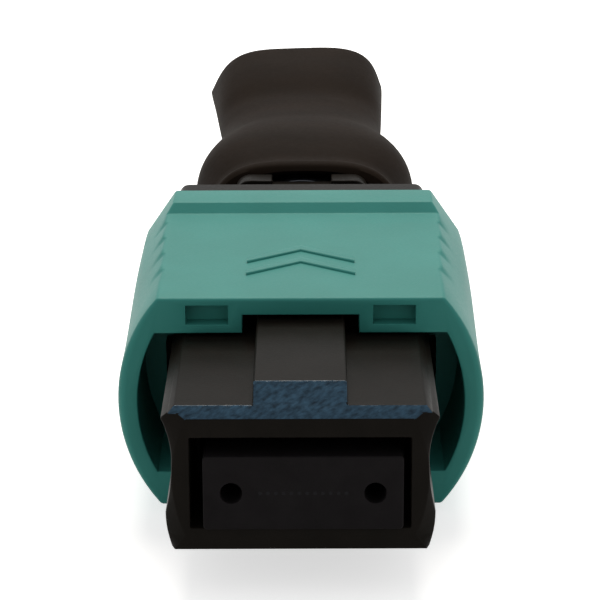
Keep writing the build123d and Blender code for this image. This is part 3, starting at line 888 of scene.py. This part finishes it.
class PLUG_OT_springs(bpy.types.Operator):
    """Oval main spring behind the ferrule and the two small springs behind the sleeve"""

    bl_idname = "plug.springs"
    bl_label = "Springs"

    def coil(self, name, centre, half_size, span, wire, turns):
        """Round wire wound along the plug."""
        steps, around = 40, 12
        count = turns * steps
        line = []
        for i in range(count + 1):
            share = i / count
            turn = 2 * math.pi * turns * share
            x = centre[0] + half_size[0] * math.cos(turn)
            z = centre[1] + half_size[1] * math.sin(turn)
            line.append(Vector((x, span[0] + (span[1] - span[0]) * share, z)))
        rings = []
        for i, point in enumerate(line):
            ahead = (line[min(i + 1, count)] - line[max(i - 1, 0)]).normalized()
            out = Vector((point.x - centre[0], 0, point.z - centre[1])).normalized()
            out = (out - out.dot(ahead) * ahead).normalized()
            over = ahead.cross(out)
            rings.append([
                point + wire / 2 * (math.cos(a) * out + math.sin(a) * over)
                for a in (2 * math.pi * j / around for j in range(around))
            ])
        piece = skin(name, rings, ends=True)
        shade(piece, angle=40)
        to_metres(piece)
        return piece

    def execute(self, context):
        s = sizes_of(context.scene.plug_springs)
        side_gap, end_gap = 0.02, 0.01
        # Stainless spring wire, drawn: bright grey with fine lines along it
        steel = drawn_metal(
            "Stainless spring wire, drawn", context.scene.plug_colours.spring, roughness=0.3, line=0.03
        )
        for node, name, joint, travel, wire, turns in (
            ("main_spring", "main_coil", "ferrule_slide", 0.8, s.main_wire, s.main_turns),
            ("coupling_spring_left", "left_coil", "sleeve_slide", 1.6, s.small_wire, s.small_turns),
            ("coupling_spring_right", "right_coil", "sleeve_slide", 1.6, s.small_wire, s.small_turns),
        ):
            low, high = corners(node)
            middle = (low + high) / 2
            half = ((high.x - low.x - wire) / 2 - side_gap, (high.z - low.z - wire) / 2)
            span = (low.y + wire / 2 + end_gap, high.y - wire / 2 - end_gap)
            piece = self.coil(name, (middle.x, middle.z), half, span, wire, turns)
            settle(piece, "housing", "spring", steel)
            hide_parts(node)
            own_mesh(piece)
        return {"FINISHED"}


class PLUG_OT_ferrule(bpy.types.Operator):
    """Ferrule: a polished end face with two pin holes, and the fibre ends flush with it"""

    bl_idname = "plug.ferrule"
    bl_label = "Ferrule"

    def block(self, s, x, z):
        """The ferrule about a middle, with its shoulder, pin holes, fibre pocket and the window into it."""
        face, shoulder = (s.width, s.height), (s.shoulder_width, s.shoulder_height)
        rings = []
        for y, (width, height), inset in (
            (0.0, face, s.edge),
            (s.edge, face, 0.0),
            (s.shoulder, face, 0.0),
            (s.shoulder, shoulder, s.edge),
            (s.shoulder + s.edge, shoulder, 0.0),
            (s.length - s.edge, shoulder, 0.0),
            (s.length, shoulder, s.edge),
        ):
            rings.append(at(y, rounded(width - 2 * inset, height - 2 * inset, s.corner, x, z)))
        piece = skin("ferrule_block", rings, ends=True)
        back = s.length + PAST
        cutters = []
        for side in (-1, 1):
            circle = oval(s.pin_hole, s.pin_hole, shift=x + side * s.pin_place, rise=z)
            cutters.append(cutter(circle[::-1], 0.0, back, lip=s.pin_lip))
        pocket_front = 3.2
        # Width, height, rise and back of the fibre pocket and of the window in the top
        for width, height, rise, end in ((3.6, 1.6, 0.0, back), (3.0, 2.0, 1.0, 5.2)):
            cutters.append(cutter(oblong(width, height, x, z + rise), pocket_front, end))
        cut_away(piece, cutters)
        return piece

    def fibre_ends(self, s, x, z):
        """Row of fibre ends about a middle, which stand a hair proud of the ferrule's face."""
        proud = 0.001
        first = -(s.fibre_count - 1) / 2
        built = bmesh.new()
        for i in range(s.fibre_count):
            centre = Matrix.Translation((x + (i + first) * s.fibre_pitch, s.fibre_length / 2, z))
            bmesh.ops.create_cone(
                built,
                cap_ends=True,
                segments=16,
                radius1=s.fibre / 2,
                radius2=s.fibre / 2,
                depth=s.fibre_length + 2 * proud,
                matrix=centre @ Matrix.Rotation(math.pi / 2, 4, "X"),
            )
        return finished_mesh("fibre_ends", built)

    def execute(self, context):
        s = sizes_of(context.scene.plug_ferrule)
        c = context.scene.plug_colours
        low, high = corners("mt_ferrule")
        x, z = (low.x + high.x) / 2, (low.z + high.z) / 2
        block = self.block(s, x, z)
        shade(block)
        to_metres(block)
        # PPS filled with glass, compression moulded and its face polished: dense black, faintly speckled
        filled = moulded(
            "Black PPS, glass filled", c.ferrule_dark, c.ferrule_light,
            roughness=0.38, specular=0.03, grain=0.08, depth=0.003, patch=0.8,
        )
        settle(block, "ferrule", "ferrule", filled)
        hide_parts("mt_ferrule")

        fibres = self.fibre_ends(s, x, z)
        shade(fibres)
        to_metres(fibres)
        # Bare glass fibres, polished flush: as dark as the ferrule, a little glossier
        glass = moulded(
            "Silica fibre, polished", c.fibre_dark, c.fibre_light,
            roughness=0.25, specular=0.06, grain=0.3, depth=0.0005,
        )
        settle(fibres, "ferrule", "ferrule", glass)
        return {"FINISHED"}


class PLUG_OT_inner_finishes(bpy.types.Operator):
    """Finishes of the pin keeper, the rubber insert and the crimp ring"""

    bl_idname = "plug.inner_finishes"
    bl_label = "Inner finishes"

    def execute(self, context):
        c = context.scene.plug_colours
        # PBT, injection moulded in grey: plain, with a low sheen
        grey = moulded(
            "Grey PBT, moulded", c.keeper_dark, c.keeper_light,
            roughness=0.5, specular=0.3, grain=0.15, depth=0.006,
        )
        # Silicone, moulded: soft and dull
        silicone = moulded(
            "Black silicone, moulded", c.insert_dark, c.insert_light,
            roughness=0.65, specular=0.2, grain=0.2, depth=0.006,
        )
        # Brass, turned and nickel plated, with rings round it; its dark grey tone, darker than nickel, is
        # painted shade for the boot's hollow that it sits in
        plated = drawn_metal("Nickel plated brass, turned", c.ring, roughness=0.4, line=0.12)
        for name, material, rounding in (
            ("pin_keeper", grey, 0.04),
            ("ferrule_boot", silicone, 0.04),
            ("crimp_ring", plated, 0.03),
        ):
            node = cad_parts[name]
            soften(node, rounding)
            for slot in node.material_slots:
                slot.material = material
        return {"FINISHED"}


class PLUG_OT_studio(bpy.types.Operator):
    """Pale floor, soft overhead light and the camera"""

    bl_idname = "plug.studio"
    bl_label = "Studio"

    def seen(self, holder):
        """1 for rays from the camera and for reflections and transmissions, 0 for diffuse light."""
        path = add_node(holder, "ShaderNodeLightPath")
        either = add_node(
            holder,
            "ShaderNodeMath",
            {0: path.outputs["Is Camera Ray"], 1: path.outputs["Is Glossy Ray"]},
            operation="MAXIMUM",
        )
        any_of_them = add_node(
            holder,
            "ShaderNodeMath",
            {0: either.outputs[0], 1: path.outputs["Is Transmission Ray"]},
            operation="MAXIMUM",
        )
        return any_of_them.outputs[0]

    def pale_board(self, s):
        """Pale matt board, lifted to white where it is seen, with the object's shadow kept."""
        material, shader, _, output = new_material("Pale matt board")
        shader.inputs["Base Color"].default_value = rgba(linear("e4e4e4"))
        shader.inputs["Roughness"].default_value = 0.9
        shader.inputs["Specular IOR Level"].default_value = 0.2
        lift = add_node(
            material, "ShaderNodeMath", {0: self.seen(material), 1: s.floor_lift}, operation="MULTIPLY"
        )
        glow = add_node(material, "ShaderNodeEmission", {"Strength": lift.outputs[0]})
        both = add_node(
            material, "ShaderNodeAddShader", {0: shader.outputs["BSDF"], 1: glow.outputs["Emission"]}
        )
        material.node_tree.links.new(both.outputs["Shader"], output.inputs["Surface"])
        return material

    def room(self, s):
        """White where it is seen, and even grey for diffuse light."""
        world = bpy.data.worlds.new("room")
        world.use_nodes = True
        world.node_tree.nodes.clear()
        tone = add_node(
            world,
            "ShaderNodeMix",
            {"Factor": self.seen(world), "A": rgba((s.ambient,) * 3), "B": rgba((1.0, 1.0, 1.0))},
            data_type="RGBA",
        )
        background = add_node(world, "ShaderNodeBackground", {"Color": tone.outputs["Result"]})
        add_node(world, "ShaderNodeOutputWorld", {"Surface": background.outputs["Background"]})
        return world

    def floor(self, height):
        """Square board at a height, far wider than the view."""
        half = 2.0
        mesh = bpy.data.meshes.new("floor")
        square = [(x * half, y * half, height) for x, y in ((-1, -1), (1, -1), (1, 1), (-1, 1))]
        mesh.from_pydata(square, [], [(0, 1, 2, 3)])
        return bpy.data.objects.new("floor", mesh)

    def softbox(self, s):
        """Square lamp above and behind the plug, aimed at its middle."""
        target = Vector((0, 0.02, 0))
        towards = Vector((0, 0.5, 0.87)).normalized()
        distance = s.lamp_distance * MM
        light = bpy.data.lights.new("overhead", "AREA")
        light.shape, light.size = "SQUARE", s.lamp_size * MM
        light.color = linear("fffaf2")
        light.energy = s.overhead * math.pi**2 * distance**2
        lamp = bpy.data.objects.new("overhead", light)
        lamp.location = target + towards * distance
        lamp.rotation_euler = towards.to_track_quat("Z", "Y").to_euler()
        return lamp

    def camera(self, s):
        """Camera that looks back and down at the plug's mating end."""
        data = bpy.data.cameras.new("camera")
        data.sensor_width = 36.0
        data.lens = s.lens
        data.clip_start, data.clip_end = 0.005, 10
        camera = bpy.data.objects.new("camera", data)
        camera.location = Vector((s.camera_x, s.camera_y, s.camera_z)) * MM
        level = math.cos(s.pitch)
        ahead = Vector((math.sin(s.yaw) * level, math.cos(s.yaw) * level, math.sin(s.pitch)))
        right = Vector((math.cos(s.yaw), -math.sin(s.yaw), 0))
        up = right.cross(ahead)
        turned_right = math.cos(s.roll) * right + math.sin(s.roll) * up
        turned_up = -math.sin(s.roll) * right + math.cos(s.roll) * up
        camera.rotation_euler = Matrix((turned_right, turned_up, -ahead)).transposed().to_euler()
        return camera

    def execute(self, context):
        scene = context.scene
        s = sizes_of(scene.plug_studio)
        low, _ = cad_bounds
        scene.view_settings.view_transform = "Standard"

        floor = self.floor(low.z)
        scene.collection.objects.link(floor)
        floor.data.materials.append(self.pale_board(s))
        scene.world = self.room(s)
        scene.collection.objects.link(self.softbox(s))
        camera = self.camera(s)
        scene.collection.objects.link(camera)
        scene.camera = camera
        return {"FINISHED"}


class PLUG_PT_panel(bpy.types.Panel):
    """Every step of the plug, with the sizes and colours that the steps take"""

    bl_idname = "PLUG_PT_panel"
    bl_label = "Multi-fibre plug"
    bl_space_type = "VIEW_3D"
    bl_region_type = "UI"
    bl_category = "Plug"

    def draw(self, context):
        for operator in OPERATORS:
            self.layout.operator(operator.bl_idname)
        for holder, group in GROUPS.items():
            box = self.layout.box()
            box.label(text=group.__doc__)
            for name in group.__annotations__:
                box.prop(getattr(context.scene, holder), name)


OPERATORS = (
    PLUG_OT_sleeve,
    PLUG_OT_frame,
    PLUG_OT_boot,
    PLUG_OT_springs,
    PLUG_OT_ferrule,
    PLUG_OT_inner_finishes,
    PLUG_OT_studio,
)
GROUPS = {
    "plug_sleeve": SleeveSizes,
    "plug_frame": FrameSizes,
    "plug_boot": BootSizes,
    "plug_springs": SpringSizes,
    "plug_ferrule": FerruleSizes,
    "plug_colours": Colours,
    "plug_studio": StudioSettings,
}
CLASSES = (*GROUPS.values(), *OPERATORS, PLUG_PT_panel)


def register():
    for part in CLASSES:
        bpy.utils.register_class(part)
    for name, group in GROUPS.items():
        setattr(bpy.types.Scene, name, PointerProperty(type=group))


def unregister():
    for name in GROUPS:
        delattr(bpy.types.Scene, name)
    for part in reversed(CLASSES):
        bpy.utils.unregister_class(part)


def main():
    register()
    bpy.ops.plug.sleeve()
    bpy.ops.plug.frame()
    bpy.ops.plug.boot()
    bpy.ops.plug.springs()
    bpy.ops.plug.ferrule()
    bpy.ops.plug.inner_finishes()
    bpy.ops.plug.studio()


if __name__ == "__main__":
    main()
